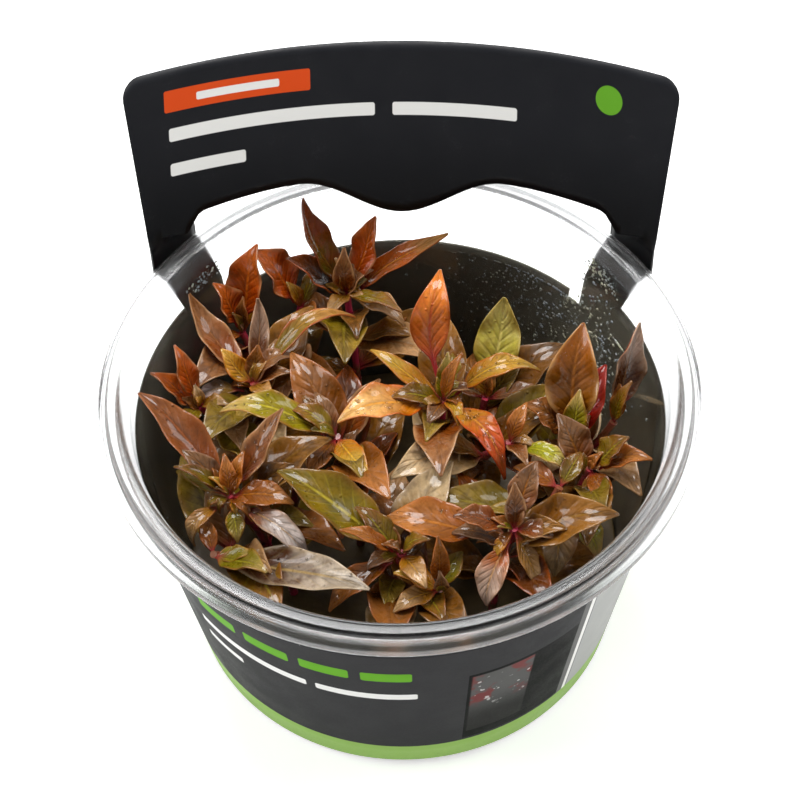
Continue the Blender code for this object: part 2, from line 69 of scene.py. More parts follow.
def addNode(kind, values, **settings):
    # it goes in the tree that its first linked value is in
    tree = next(value.id_data for value in values.values() if isinstance(value, bpy.types.NodeSocket))
    node = tree.nodes.new("ShaderNode" + kind)
    for name, setting in settings.items():
        setattr(node, name, setting)
    return fill(node, values)


def calc(operation, *values):
    return addNode("Math", dict(enumerate(values)), operation=operation).outputs[0]


def plus(first, second):
    return calc("ADD", first, second)


def minus(first, second):
    return calc("SUBTRACT", first, second)


def times(first, second):
    return calc("MULTIPLY", first, second)


def ramp(value, low, high, toLow=0, toHigh=1):
    values = {"Value": value, "From Min": low, "From Max": high, "To Min": toLow, "To Max": toHigh}
    return addNode("MapRange", values, interpolation_type="SMOOTHSTEP").outputs["Result"]


def blend(share, first, second, kind="MIX"):
    return addNode("Mix", {0: share, 6: first, 7: second}, data_type="RGBA", blend_type=kind).outputs[2]


def noise(place, scale, detail=3, roughness=0.5):
    values = {"Vector": place, "Scale": scale, "Detail": detail, "Roughness": roughness}
    return addNode("TexNoise", values).outputs["Fac"]


def axes(place):
    return addNode("SeparateXYZ", {0: place}).outputs


def bumped(shader, height, strength, distance):
    bump = addNode("Bump", {"Height": height, "Strength": strength, "Distance": distance})
    fill(shader, {"Normal": bump.outputs[0]})


def newMaterial(name):
    made = bpy.data.materials.new(name)
    made.use_nodes = True
    nodes = made.node_tree.nodes
    return made, nodes["Principled BSDF"], nodes.new("ShaderNodeTexCoord").outputs["Object"]


def newGroup(name, inputs, outputs):
    # a socket is given by its starting number, or by the word Vector or Color
    made = bpy.data.node_groups.new(name, "ShaderNodeTree")
    for way, sockets in (("INPUT", inputs), ("OUTPUT", outputs)):
        for label, given in sockets.items():
            kind = given if isinstance(given, str) else "Float"
            socket = made.interface.new_socket(name=label, in_out=way, socket_type="NodeSocket" + kind)
            if kind == "Float":
                socket.default_value = given
    return made, made.nodes.new("NodeGroupInput").outputs, made.nodes.new("NodeGroupOutput")


def useGroup(group, **values):
    named = {label.replace("_", " "): value for label, value in values.items()}
    return addNode("Group", named, node_tree=group).outputs


# groups that several materials share

def buildFineGrain():
    made, given, result = newGroup(
        "fineGrain",
        {"Place": "Vector", "Scale": 900, "Smooth": 0.2, "Rough": 0.4},
        {"Roughness": 0, "Height": 0},
    )
    coarse = noise(given["Place"], times(given["Scale"], 0.07), 4)
    fine = noise(given["Place"], given["Scale"], 2)
    both = plus(times(coarse, 0.6), times(fine, 0.4))
    fill(result, {"Roughness": ramp(both, 0.3, 0.7, given["Smooth"], given["Rough"]), "Height": both})
    return made


def buildPrintPatch():
    # a block with round corners, as a mask
    made, given, result = newGroup(
        "printPatch",
        {"Across": 0, "Up": 0, "Middle Across": 0, "Middle Up": 0, "Half Width": 1, "Half Height": 1,
         "Corner": 0.2, "Softness": 0.05},
        {"Mask": 0},
    )
    corner, soft = given["Corner"], given["Softness"]
    squares = []
    for axis, half in (("Across", "Half Width"), ("Up", "Half Height")):
        away = calc("ABSOLUTE", minus(given[axis], given["Middle " + axis]))
        beyond = calc("MAXIMUM", minus(away, minus(given[half], corner)), 0)
        squares.append(times(beyond, beyond))
    outside = minus(calc("SQRT", plus(*squares)), corner)
    fill(result, {"Mask": ramp(outside, times(soft, -1), soft, 1, 0)})
    return made


leafLook = {
    "thickness": 0.32, "start": 1.8, "cells": (22, 10), "youngCells": (14, 8), "oldCells": (16, 8), "wider": 1.03,
    "leastHalf": 0.22, "stalkWidth": 0.13, "pucker": 0.14, "wave": 0.45, "hook": 0.55,
    # side veins: how many, how far they run towards the tip, and how they bend
    "veins": 9, "veinSweep": 2.1, "veinBend": 0.8,
    "stalkTone": tone(190, 34, 62), "gloss": 0.3, "coat": 0.85, "coatRough": 0.06, "relief": 0.75, "glow": 0.33,
}


def buildLeafSkin():
    made, given, result = newGroup(
        "leafSkin",
        {"Along": 0.5, "Across": 0, "Shade": 0.5, "Stalk": 0, "Place": "Vector", "Base": "Color", "Tip": "Color",
         "Edge": "Color", "Rib": "Color", "Blotch": "Color", "Stem": "Color", "Blotch Amount": 0.5, "Turn": 0.6,
         "Veins": 9, "Beads": 0.25},
        {"Color": "Color", "Roughness": 0, "Height": 0},
    )
    along, place, turn = given["Along"], given["Place"], given["Turn"]
    side = calc("ABSOLUTE", given["Across"])
    broad, fine = noise(place, 240, 3, 0.6), noise(place, 1500, 4, 0.6)
    # the base's colour gives way to the tip's, then blotches and the edge
    drift = times(minus(broad, 0.5), 0.8)
    toTip = ramp(plus(along, drift), minus(turn, 0.25), plus(turn, 0.25))
    skin = blend(toTip, given["Base"], given["Tip"])
    skin = blend(times(ramp(broad, 0.48, 0.62), given["Blotch Amount"]), skin, given["Blotch"])
    edge = ramp(plus(side, times(drift, 0.5)), 0.7, 1.05)
    skin = blend(times(edge, 0.6), skin, given["Edge"])
    # side veins leave the midrib and bend towards the tip
    bend = times(calc("POWER", side, leafLook["veinBend"]), leafLook["veinSweep"])
    wave = calc("ABSOLUTE", minus(calc("FRACT", minus(times(along, given["Veins"]), bend)), 0.5))
    vein = times(ramp(wave, 0.12, 0), ramp(side, 1, 0.7))
    rib = times(ramp(side, 0.11, 0.02), ramp(along, 1, 0.6, 0.1, 1))
    lines = calc("MAXIMUM", rib, times(vein, 0.3))
    skin = blend(times(lines, 0.75), skin, given["Rib"])
    # light and dark: each leaf's own shade, a fine mottle, and a darker line beside the midrib
    flank = times(ramp(side, 0.3, 0.14), minus(1, rib))
    light = plus(times(fine, 0.55), times(given["Shade"], 0.9))
    light = minus(plus(light, 0.26), times(flank, 0.2))
    grey = addNode("CombineColor", {0: light, 1: light, 2: light}).outputs[0]
    skin = blend(given["Stalk"], blend(1, skin, grey, "MULTIPLY"), given["Stem"])
    # fine beads of water that cling to the skin
    cells = addNode("TexVoronoi", {"Vector": place, "Scale": 900}).outputs
    pick = addNode("SeparateColor", {0: cells["Color"]}).outputs[0]
    bead = times(ramp(cells["Distance"], 0.32, 0.08), calc("LESS_THAN", pick, given["Beads"]))
    rough = ramp(plus(times(fine, 0.5), times(broad, 0.5)), 0.38, 0.62, 0.2, 0.46)
    # the skin swells between the veins
    pillow = times(ramp(wave, 0, 0.3), ramp(side, 1, 0.6))
    height = plus(minus(times(pillow, 0.55), times(rib, 0.6)), times(fine, 0.3))
    fill(result, {"Color": skin, "Roughness": times(rough, minus(1, times(bead, 0.85))),
                  "Height": plus(height, times(bead, 0.9))})
    return made


fineGrain = buildFineGrain()
printPatch = buildPrintPatch()
leafSkin = buildLeafSkin()
print("node groups built")


def grained(shader, place, scale, smooth, rough):
    # fine unevenness of the gloss; its height comes back for a bump
    grain = useGroup(fineGrain, Place=place, Scale=scale, Smooth=smooth, Rough=rough)
    fill(shader, {"Roughness": grain["Roughness"]})
    return grain["Height"]


# materials of the cup, the gel and the water

cupLook = {
    "height": 61.5, "rim": 52, "seat": 50, "mouth": 47.3, "foot": 38.3, "floorTop": 1.5,
    "wallBottom": 37.9, "wallTopRadius": 45.95, "wallTop": 53.5, "wall": 0.9, "steps": 160,
    "colour": tone(250, 252, 252), "rimColour": tone(228, 229, 230), "rimFrom": (0.0555, 0.0585), "ior": 1.5,
    "smooth": 0.015, "rough": 0.06, "rimRough": 0.17,
}


def clearPlastic():
    made, shader, place = newMaterial("clearPlastic")
    rimShare = ramp(axes(place)[2], *cupLook["rimFrom"])
    grain = useGroup(fineGrain, Place=place, Scale=700, Smooth=cupLook["smooth"], Rough=cupLook["rough"])
    fill(shader, {"Base Color": blend(rimShare, cupLook["colour"], cupLook["rimColour"]),
                  "Roughness": plus(grain["Roughness"], times(rimShare, cupLook["rimRough"])),
                  "Transmission Weight": 1, "IOR": cupLook["ior"]})
    bumped(shader, grain["Height"], 0.04, 0.0002)
    return made


# the gel's dark brown is partly a guessed tint of the gel and partly painted shade for the deep gaps between the
# leaves
gelLook = {"top": 14, "gap": 0.3, "dark": tone(66, 50, 22), "light": tone(96, 76, 40), "clear": 0.1, "ior": 1.34}


def gelMaterial():
    made, shader, place = newMaterial("growingGel")
    cloud = noise(place, 90, 5, 0.6)
    fill(shader, {"Base Color": blend(ramp(cloud, 0.35, 0.7), gelLook["dark"], gelLook["light"]),
                  "Transmission Weight": gelLook["clear"], "IOR": gelLook["ior"]})
    grained(shader, place, 500, 0.35, 0.6)
    bumped(shader, cloud, 0.5, 0.001)
    return made


def waterMaterial():
    made, shader, place = newMaterial("waterDrop")
    fill(shader, {"Base Color": white, "Transmission Weight": 1, "IOR": 1.333})
    grained(shader, place, 300, 0, 0.02)
    return made


def mistMaterial():
    made, shader, place = newMaterial("wallMist")
    # the beads are real water; their pale white and yellow colour is painted glint
    paintedGlintShare = ramp(noise(place, 300, 2), 0.4, 0.65)
    fill(shader, {"Base Color": blend(paintedGlintShare, tone(214, 222, 226), tone(244, 242, 214)),
                  "Transmission Weight": 0.6, "IOR": 1.333})
    grained(shader, place, 900, 0.08, 0.25)
    return made


# the card: black with plain blocks of colour where it is printed, lengths in millimetres

cardLook = {
    "black": tone(24, 25, 29), "blackPaintedShade": tone(5, 6, 8), "inside": tone(136, 130, 116),
    "sleeveBlackPaintedSheen": tone(50, 50, 51), "orange": tone(214, 74, 20), "pale": tone(232, 232, 228),
    "green": tone(98, 162, 38), "stripe": tone(146, 184, 94), "sidePanel": tone(168, 169, 166),
    "panelLow": tone(42, 42, 40), "panelGrey": tone(96, 96, 94), "panelDark": tone(7, 8, 6),
    "margin": tone(104, 104, 102), "panelRed": tone(128, 56, 56), "speck": tone(120, 122, 126),
    "sleeveRadius": 44, "softness": 0.06, "headerGloss": 0.24, "sleeveGloss": 0.012, "headerCurve": 0.0012,
    "picture": (18.2, 24.5, 5.6, 12.4, 0.1),
    # colour, middle across, middle up, half width, half height, corner
    "headerPatches": [
        ("orange", -28.5, 26.97, 12.7, 1.72, 0.35),
        ("pale", -28.4, 26.97, 7.2, 0.62, 0.3),
        ("pale", -22.6, 21.6, 18, 1.05, 0.4),
        ("pale", 9.4, 21.6, 10.9, 1.05, 0.4),
        ("pale", -34, 16, 6.6, 1, 0.4),
        ("green", 36.2, 26.3, 2.3, 2.3, 2.3),
    ],
    "sleevePatches": [
        ("stripe", 0, 3, 200, 5.2, 0.1),
        *[("green", across, 40.5, 4.2, 1.7, 0.5) for across in (-33, -22.6, -12.2, -1.8)],
        ("pale", -27.4, 32, 11.4, 1.1, 0.4),
        ("pale", -5.5, 32, 8.8, 1.1, 0.4),
        ("pale", -34.4, 26, 4.4, 1, 0.4),
        ("panelDark", 22.5, 23.5, 10.6, 14.5, 0.1),
        ("margin", 34.4, 30, 1.2, 21.8, 0.1),
        ("sidePanel", 45.5, 30, 9.6, 21.8, 0.2),
        ("pale", 35.2, 30, 0.5, 21.8, 0.1),
    ],
}


def printMask(across, up, softness, shape):
    values = dict(zip(("Middle_Across", "Middle_Up", "Half_Width", "Half_Height", "Corner"), shape))
    return useGroup(printPatch, Across=across, Up=up, Softness=softness, **values)["Mask"]


def addPatches(skin, across, up, patches):
    for colour, *shape in patches:
        skin = blend(printMask(across, up, cardLook["softness"], shape), skin, cardLook[colour])
    return skin


def finishCard(shader, place, skin, gloss, smooth, rough):
    height = grained(shader, place, 2600, smooth, rough)
    speck = ramp(height, 0.58, 0.74, 0, 0.04)
    fill(shader, {"Base Color": blend(speck, skin, cardLook["speck"]), "Specular IOR Level": gloss})
    bumped(shader, height, 0.12, 0.0001)


def inMillimetres(place):
    return [times(axis, 1000) for axis in axes(place)]


def cardHeaderSide():
    made, shader, place = newMaterial("cardHeaderSide")
    across, back, up = inMillimetres(place)
    above = minus(up, cupLook["height"])
    curved = plus(above, times(times(across, across), cardLook["headerCurve"]))
    # the header is darkest just above the rim and a little lighter higher up: painted shade
    skin = blend(ramp(above, 2, 22), cardLook["blackPaintedShade"], cardLook["black"])
    # below the rim the card's inner side is pale grey: painted light that lifts the shade inside the cup
    skin = blend(ramp(above, -13, -7), cardLook["inside"], skin)
    skin = addPatches(skin, across, curved, cardLook["headerPatches"])
    finishCard(shader, place, skin, cardLook["headerGloss"], 0.32, 0.5)
    return made


def panelPicture(skin, place, across, up):
    # a plain print: a pale block with soft red and grey clouds on it
    cloud, fleck = noise(place, 210, 2, 0.5), noise(place, 620, 2, 0.4)
    paint = blend(ramp(up, 16, 30), cardLook["panelLow"], cardLook["panelGrey"])
    red = times(ramp(cloud, 0.5, 0.6), ramp(up, 22, 26))
    paint = blend(times(red, 0.85), paint, cardLook["panelRed"])
    flecks = times(ramp(fleck, 0.64, 0.7), ramp(up, 20, 26))
    paint = blend(times(flecks, 0.7), paint, cardLook["pale"])
    return blend(printMask(across, up, 0.25, cardLook["picture"]), skin, paint)


def cardSleeveSide():
    made, shader, place = newMaterial("cardSleeveSide")
    across, back, up = inMillimetres(place)
    around = times(calc("ARCTAN2", across, times(back, -1)), cardLook["sleeveRadius"])
    # the sleeve is dark grey, the card's black lifted by painted sheen; from 60 mm up it is plain black
    skin = blend(ramp(up, 60, 66), cardLook["sleeveBlackPaintedSheen"], cardLook["black"])
    skin = addPatches(skin, around, up, cardLook["sleevePatches"])
    finishCard(shader, place, panelPicture(skin, place, around, up), cardLook["sleeveGloss"], 0.3, 0.46)
    return made


# colours of base, tip, edge, rib and blotches, amount of blotches, where the tip's colour starts, water beads
leafTones = {
    "flame": [(188, 80, 24), (204, 104, 56), (166, 126, 108), (222, 120, 58), (140, 64, 36), 0.6, 0.6, 0.1],
    "spike": [(104, 100, 30), (176, 84, 44), (124, 70, 58), (160, 118, 60), (126, 58, 34), 0.4, 0.45, 0.08],
    "copper": [(176, 88, 32), (196, 150, 112), (150, 78, 46), (206, 134, 66), (118, 60, 26), 0.4, 0.75, 0.1],
    "ember": [(76, 44, 22), (120, 60, 30), (176, 84, 40), (120, 70, 34), (46, 28, 18), 0.55, 0.6, 0.1],
    "rose": [(146, 94, 60), (196, 156, 136), (190, 150, 132), (150, 104, 80), (112, 76, 60), 0.4, 0.5, 0.1],
    # its pale tip is painted sheen
    "silver": [(92, 50, 28), (204, 176, 172), (190, 160, 150), (150, 104, 84), (84, 48, 36), 0.35, 0.6, 0.1],
    "mauve": [(132, 66, 28), (160, 112, 96), (196, 156, 138), (146, 92, 66), (88, 48, 34), 0.5, 0.55, 0.15],
    "brick": [(132, 66, 30), (152, 94, 76), (176, 110, 88), (166, 92, 66), (96, 50, 34), 0.45, 0.5, 0.12],
    "arch": [(128, 106, 46), (206, 152, 112), (176, 56, 42), (178, 132, 78), (106, 74, 34), 0.4, 0.65, 0.1],
    "lilac": [(112, 84, 44), (204, 188, 194), (176, 150, 146), (160, 130, 110), (98, 70, 52), 0.35, 0.5, 0.1],
    "olive": [(132, 108, 22), (150, 104, 66), (124, 66, 36), (176, 164, 72), (92, 66, 28), 0.5, 0.6, 0.3],
    "moss": [(140, 118, 26), (136, 112, 42), (140, 84, 52), (204, 190, 92), (96, 96, 28), 0.5, 0.7, 0.3],
    "lime": [(140, 130, 26), (204, 178, 134), (162, 98, 58), (198, 190, 88), (130, 104, 34), 0.35, 0.75, 0.2],
    "curled": [(156, 106, 34), (204, 170, 150), (150, 96, 60), (190, 144, 84), (106, 66, 30), 0.4, 0.55, 0.2],
    # its white tip is painted sheen
    "wetBrown": [(134, 74, 28), (248, 242, 242), (170, 128, 108), (186, 146, 116), (92, 56, 34), 0.4, 0.42, 0.2],
    # its pale tip half is painted sheen
    "wetDark": [(80, 44, 26), (206, 198, 190), (190, 172, 158), (176, 150, 116), (70, 42, 26), 0.45, 0.52, 0.3],
    "tan": [(150, 82, 28), (186, 124, 92), (172, 98, 60), (190, 120, 64), (112, 58, 26), 0.45, 0.55, 0.3],
    "brown": [(120, 68, 30), (172, 112, 82), (160, 92, 60), (146, 92, 52), (70, 42, 24), 0.5, 0.6, 0.2],
    "orange": [(196, 100, 50), (232, 140, 88), (150, 66, 44), (178, 62, 50), (204, 92, 36), 0.4, 0.6, 0.08],
    # its pale tip is partly the leaf's own colour and partly painted sheen
    "amber": [(184, 108, 26), (238, 196, 158), (196, 84, 46), (226, 160, 84), (166, 96, 26), 0.4, 0.5, 0.35],
    "saffron": [(186, 124, 30), (220, 178, 110), (176, 84, 40), (236, 190, 96), (150, 128, 36), 0.4, 0.6, 0.25],
    "sunset": [(190, 132, 58), (206, 84, 50), (196, 64, 44), (232, 160, 90), (176, 90, 36), 0.35, 0.45, 0.45],
    "mottled": [(206, 202, 112), (226, 220, 158), (160, 130, 76), (232, 226, 160), (150, 126, 44), 0.6, 0.6, 0.2],
    "umber": [(132, 80, 18), (166, 98, 48), (204, 164, 134), (176, 110, 60), (104, 60, 24), 0.35, 0.55, 0.12],
    "garnet": [(168, 28, 28), (154, 30, 30), (186, 62, 62), (186, 60, 56), (112, 18, 20), 0.4, 0.6, 0.1],
    "plum": [(126, 66, 32), (144, 106, 94), (150, 110, 104), (168, 108, 64), (70, 46, 44), 0.45, 0.4, 0.2],
    "blush": [(184, 98, 52), (216, 192, 190), (196, 150, 140), (206, 160, 136), (150, 92, 66), 0.3, 0.45, 0.15],
    "fresh": [(154, 158, 22), (206, 180, 150), (184, 140, 116), (196, 196, 84), (118, 120, 26), 0.35, 0.72, 0.2],
    "pale": [(158, 120, 84), (214, 192, 172), (190, 168, 156), (176, 150, 132), (104, 78, 64), 0.45, 0.45, 0.15],
    "chalk": [(170, 134, 102), (240, 218, 198), (222, 192, 168), (184, 142, 112), (100, 66, 46), 0.55, 0.4, 0.2],
    "oldBrown": [(140, 88, 34), (160, 112, 72), (168, 124, 86), (156, 114, 62), (76, 46, 24), 0.6, 0.6, 0.15],
    "oldOlive": [(130, 112, 40), (160, 134, 80), (140, 104, 66), (160, 144, 74), (84, 64, 28), 0.6, 0.6, 0.15],
    "oldDark": [(112, 70, 30), (140, 96, 64), (124, 88, 64), (116, 82, 48), (56, 38, 22), 0.6, 0.6, 0.1],
    "underside": [(172, 66, 44), (166, 74, 60), (178, 100, 84), (196, 106, 80), (116, 40, 32), 0.5, 0.6, 0.05],
}


def leafTone(colour):
    # the fuller a colour is, the warmer it gets
    red, green, blue = colour
    return tone(red, green * 0.96, blue * (0.27 + 0.66 * blue / red))


def leafMaterial(name):
    *colours, amount, turn, beads = leafTones[name]
    made, shader, place = newMaterial("leaf" + name[0].upper() + name[1:])
    tree = made.node_tree
    values = dict(zip(("Base", "Tip", "Edge", "Rib", "Blotch"), map(leafTone, colours)))
    for label in ("Along", "Across", "Shade", "Stalk"):
        node = tree.nodes.new("ShaderNodeAttribute")
        node.attribute_name = label.lower()
        values[label] = node.outputs["Fac"]
    skin = useGroup(leafSkin, Place=place, Stem=leafLook["stalkTone"], Blotch_Amount=amount, Turn=turn, Beads=beads,
                    **values)
    fill(shader, {"Base Color": skin["Color"], "Roughness": skin["Roughness"], "Specular IOR Level": leafLook["gloss"],
                  "Coat Weight": leafLook["coat"], "Coat Roughness": leafLook["coatRough"]})
    bumped(shader, skin["Height"], leafLook["relief"], 0.0003)
    # light that shines through the leaf
    through = addNode("BsdfTranslucent", {"Color": skin["Color"]})
    mix = addNode("MixShader", {0: leafLook["glow"], 1: shader.outputs[0], 2: through.outputs[0]})
    fill(tree.nodes["Material Output"], {"Surface": mix.outputs[0]})
    return made


stemLook = {"foot": 14.3, "radius": 0.75, "sides": 12, "joint": 0.22, "jointSpacing": 7, "slimmer": 0.12,
            "crimson": tone(176, 40, 70), "brown": tone(120, 70, 44)}


def stemMaterial():
    made, shader, place = newMaterial("stemCrimson")
    patch = ramp(noise(place, 240, 3), 0.4, 0.65)
    fill(shader, {"Base Color": blend(patch, stemLook["crimson"], stemLook["brown"])})
    bumped(shader, grained(shader, place, 1500, 0.2, 0.45), 0.3, 0.0002)
    return made


stemSkin = stemMaterial()
leafSkins = {name: leafMaterial(name) for name in leafTones}
print("plant materials built")


# making and placing pieces

def placed(name, data):
    made = bpy.data.objects.new(name, data)
    bpy.context.scene.collection.objects.link(made)
    return made


def newPiece(name, mesh, materials, replaced):
    made = placed(name, mesh)
    for material in materials:
        made.data.materials.append(material)
    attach(made, "root")
    if replaced:
        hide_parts(*replaced)
    return made


def finishedMesh(bm, name, sharpAngle=None):
    mesh = bpy.data.meshes.new(name + "_mesh")
    bm.to_mesh(mesh)
    bm.free()
    mesh.shade_smooth()
    if sharpAngle:
        mesh.set_sharp_from_angle(angle=radians(sharpAngle))
    return mesh


def spread(low, high, cells):
    return [low + (high - low) * k / cells for k in range(cells + 1)]


def bentLine(start, corner, end, steps):
    return [start * (1 - t) ** 2 + corner * (2 * t * (1 - t)) + end * t**2 for t in spread(0, 1, steps)]


def turnedPiece(name, profile, radius, steps, material, replaced):
    # each inner corner of the profile becomes a short arc, and the whole is turned round the upright axis
    points = [Vector(point) for point in profile]
    line = points[:1]
    for before, corner, after in zip(points, points[1:], points[2:]):
        cut = min(radius, (before - corner).length * 0.45, (after - corner).length * 0.45)
        start = corner + (before - corner).normalized() * cut
        end = corner + (after - corner).normalized() * cut
        line += bentLine(start, corner, end, 4)
    line.append(points[-1])
    mesh = bpy.data.meshes.new(name + "_mesh")
    mesh.from_pydata([(x * mm, 0, z * mm) for x, z in line], [(k, k + 1) for k in range(len(line) - 1)], [])
    made = newPiece(name, mesh, [material], replaced)
    turn = made.modifiers.new("Turn", "SCREW")
    turn.steps = turn.render_steps = steps
    turn.use_merge_vertices = True
    turn.merge_threshold = 0.00001
    turn.use_smooth_shade = True


def wallRadius(height):
    share = (height - cupLook["floorTop"]) / (cupLook["wallTop"] - cupLook["floorTop"])
    return cupLook["wallBottom"] + share * (cupLook["wallTopRadius"] - cupLook["wallBottom"])


def buildCup():
    top, rim, seat, mouth, foot = [cupLook[name] for name in ("height", "rim", "seat", "mouth", "foot")]
    floor, wallTop, low = cupLook["floorTop"], cupLook["wallTop"], cupLook["wallBottom"]
    inner = cupLook["wallTopRadius"]
    outer = inner + cupLook["wall"]
    profile = [
        (0, floor), (low - 1.3, floor), (low, floor + 1.2), (inner, wallTop), (inner + 0.6, top - 3),
        (mouth, top - 0.7), (mouth + 0.7, top), (seat, top), (seat + 0.5, top - 1.2), (rim - 0.4, top - 1.5),
        (rim, top - 2), (rim, top - 3.6), (rim - 0.7, top - 3.8), (rim - 0.9, top - 2.6), (seat - 1.2, top - 2.2),
        (outer + 0.6, top - 4.6), (outer, wallTop), (foot + 0.5, 1.6), (foot, 0.4), (foot - 0.9, 0),
        (foot - 3.8, 0), (foot - 4.5, 0.6), (0, 0.6),
    ]
    turnedPiece("cup_clear", profile, 0.45, cupLook["steps"], clearPlastic(), ["cup"])


def buildGel():
    top, gap = gelLook["top"], gelLook["gap"]
    low = cupLook["floorTop"] + gap
    profile = [
        (0, top), (30, top - 0.1), (wallRadius(top) - gap - 1.5, top), (wallRadius(top) - gap, top),
        (wallRadius(low + 1.5) - gap, low + 1.5), (wallRadius(low) - 2, low), (0, low),
    ]
    turnedPiece("gel_bed", profile, 0.5, 96, gelMaterial(), ["gel"])


labelLook = {
    "card": 0.45, "bottom": 1.5, "top": 51.5, "bottomRadius": 39.4, "flare": 0.1538, "stripTop": 46,
    "slitBottom": 44, "stripAngle": 42, "legInner": 45.6, "legOuter": 57.7, "legRadius": 52.85, "legKnee": -4,
    "headerBack": 28.2, "headerLean": 0.532, "headerBow": 5, "halfWidth": 44.8, "headerFlare": 0.134,
    "sideHeight": 29, "arc": 3.2, "corner": 3.5, "windowCorner": 4.4, "windowHump": 9.6, "windowTab": 4.5,
    "tabShare": 0.45,
}
# heights of the sleeve's rows above the table, and of the legs' rows above the rim
sleeveRows = spread(labelLook["bottom"], labelLook["slitBottom"], 8) + [labelLook["stripTop"], 48.75, labelLook["top"]]
legRows = [-8.5, -7, -5.5, -4, -2.5, -1, 0.5, 2]
headerRows = 16


def sleeveRadius(height):
    return labelLook["bottomRadius"] + (height - labelLook["bottom"]) * labelLook["flare"]


def ringPoint(radius, turn, height):
    return Vector((radius * sin(turn), radius * cos(turn), height))


def headerPoint(across, up):
    look = labelLook
    return Vector((across * (look["halfWidth"] + look["headerFlare"] * up),
                   look["headerBack"] + look["headerLean"] * up + look["headerBow"] * (1 - across * across),
                   cupLook["height"] + up))


def legRadiusAt(up):
    # the legs lean out from the sleeve's top to the knee, and then stand clear of the rim
    low, knee = labelLook["top"] - cupLook["height"], labelLook["legKnee"]
    start = sleeveRadius(labelLook["top"])
    return start + (labelLook["legRadius"] - start) * min(1, (up - low) / (knee - low)) ** 1.2


def windowEdge(across):
    # the header's lower edge: a tab in the middle, a hump on each side of it and a round corner at each leg
    look = labelLook
    tab, hump, tabShare = look["windowTab"], look["windowHump"], look["tabShare"]
    inner = sin(radians(look["legInner"])) / sin(radians(look["legOuter"]))
    share = min(abs(across) / inner, 1)
    if share < tabShare:
        return tab + (hump - tab) * (0.5 - 0.5 * cos(pi * share / tabShare))
    fall = (share - tabShare) / (1 - tabShare)
    edge = hump - (hump - look["windowCorner"] - 1.6) * fall**1.4
    return edge - 2.6 * max(0, (share - 0.9) / 0.1) ** 2


def headerEdge(across):
    look = labelLook
    corner = look["corner"]
    edge = look["sideHeight"] + look["arc"] * (1 - across * across)
    fromSide = (1 - abs(across)) * (look["halfWidth"] + look["headerFlare"] * look["sideHeight"])
    if fromSide < corner:
        edge -= corner - sqrt(max(0, corner**2 - (corner - fromSide) ** 2))
    return edge


def labelColumns():
    look = labelLook
    leg = spread(look["legInner"], 56, 9) + [56.5, 57, 57.3, 57.55, look["legOuter"]]
    left = [-angle for angle in reversed(leg)]
    strip = spread(-look["stripAngle"], look["stripAngle"], 64)
    front = spread(look["legOuter"], 360 - look["legOuter"], 110)[1:]
    return left + strip + leg + front


def labelPoint(angle, row):
    turn = radians(angle)
    if row < len(sleeveRows):
        return ringPoint(sleeveRadius(sleeveRows[row]), turn, sleeveRows[row])
    across = max(-1, min(1, sin(turn) / sin(radians(labelLook["legOuter"]))))
    step = row - len(sleeveRows)
    if step < len(legRows):
        up = legRows[step]
        ring = ringPoint(legRadiusAt(up), turn, cupLook["height"] + up)
        return ring if up <= 0 else ring.lerp(headerPoint(across, up), 0.08 * up)
    low = windowEdge(across)
    return headerPoint(across, low + (headerEdge(across) - low) * (step - len(legRows)) / headerRows)


def cardIsThere(angle, row):
    look = labelLook
    side = min(abs(angle), abs(360 - angle))
    if row < len(sleeveRows) - 1:
        low = sleeveRows[row] + 0.01
        if low < look["slitBottom"]:
            return True
        if low < look["stripTop"]:
            return not look["stripAngle"] < side < look["legInner"]
        return side > look["legInner"]
    onHeader = row >= len(sleeveRows) + len(legRows)
    return side < look["legOuter"] and (onHeader or side > look["legInner"])


def buildLabel():
    columns = labelColumns()
    across, up = len(columns) - 1, len(sleeveRows) + len(legRows) + headerRows
    bm = bmesh.new()
    bmesh.ops.create_grid(bm, x_segments=across, y_segments=up, size=1)
    place = {vert: (round((vert.co.x + 1) / 2 * across), round((vert.co.y + 1) / 2 * up)) for vert in bm.verts}
    spare = []
    for face in bm.faces:
        column, row = [min(place[vert][k] for vert in face.verts) for k in range(2)]
        if not cardIsThere((columns[column] + columns[column + 1]) / 2, row):
            spare.append(face)
    for vert, (column, row) in place.items():
        vert.co = labelPoint(columns[column], row) * mm
    bmesh.ops.delete(bm, geom=spare, context="FACES")
    bmesh.ops.remove_doubles(bm, verts=bm.verts, dist=0.00001)
    bmesh.ops.recalc_face_normals(bm, faces=bm.faces)
    # the printed side looks out
    middles = [(face.normal, face.calc_center_median()) for face in bm.faces]
    if sum(normal.x * middle.x + normal.y * middle.y for normal, middle in middles if middle.z < 0.04) < 0:
        bmesh.ops.reverse_faces(bm, faces=bm.faces)
    mesh = finishedMesh(bm, "label_printed", 40)
    made = newPiece("label_printed", mesh, [cardSleeveSide(), cardHeaderSide()], ["label"])
    card = made.modifiers.new("Card", "SOLIDIFY")
    card.thickness = labelLook["card"] * mm
    card.offset = 0
    card.material_offset = card.material_offset_rim = 1
    return made


# the plant, with nodes, stems and leaves at the places of their solids, in millimetres

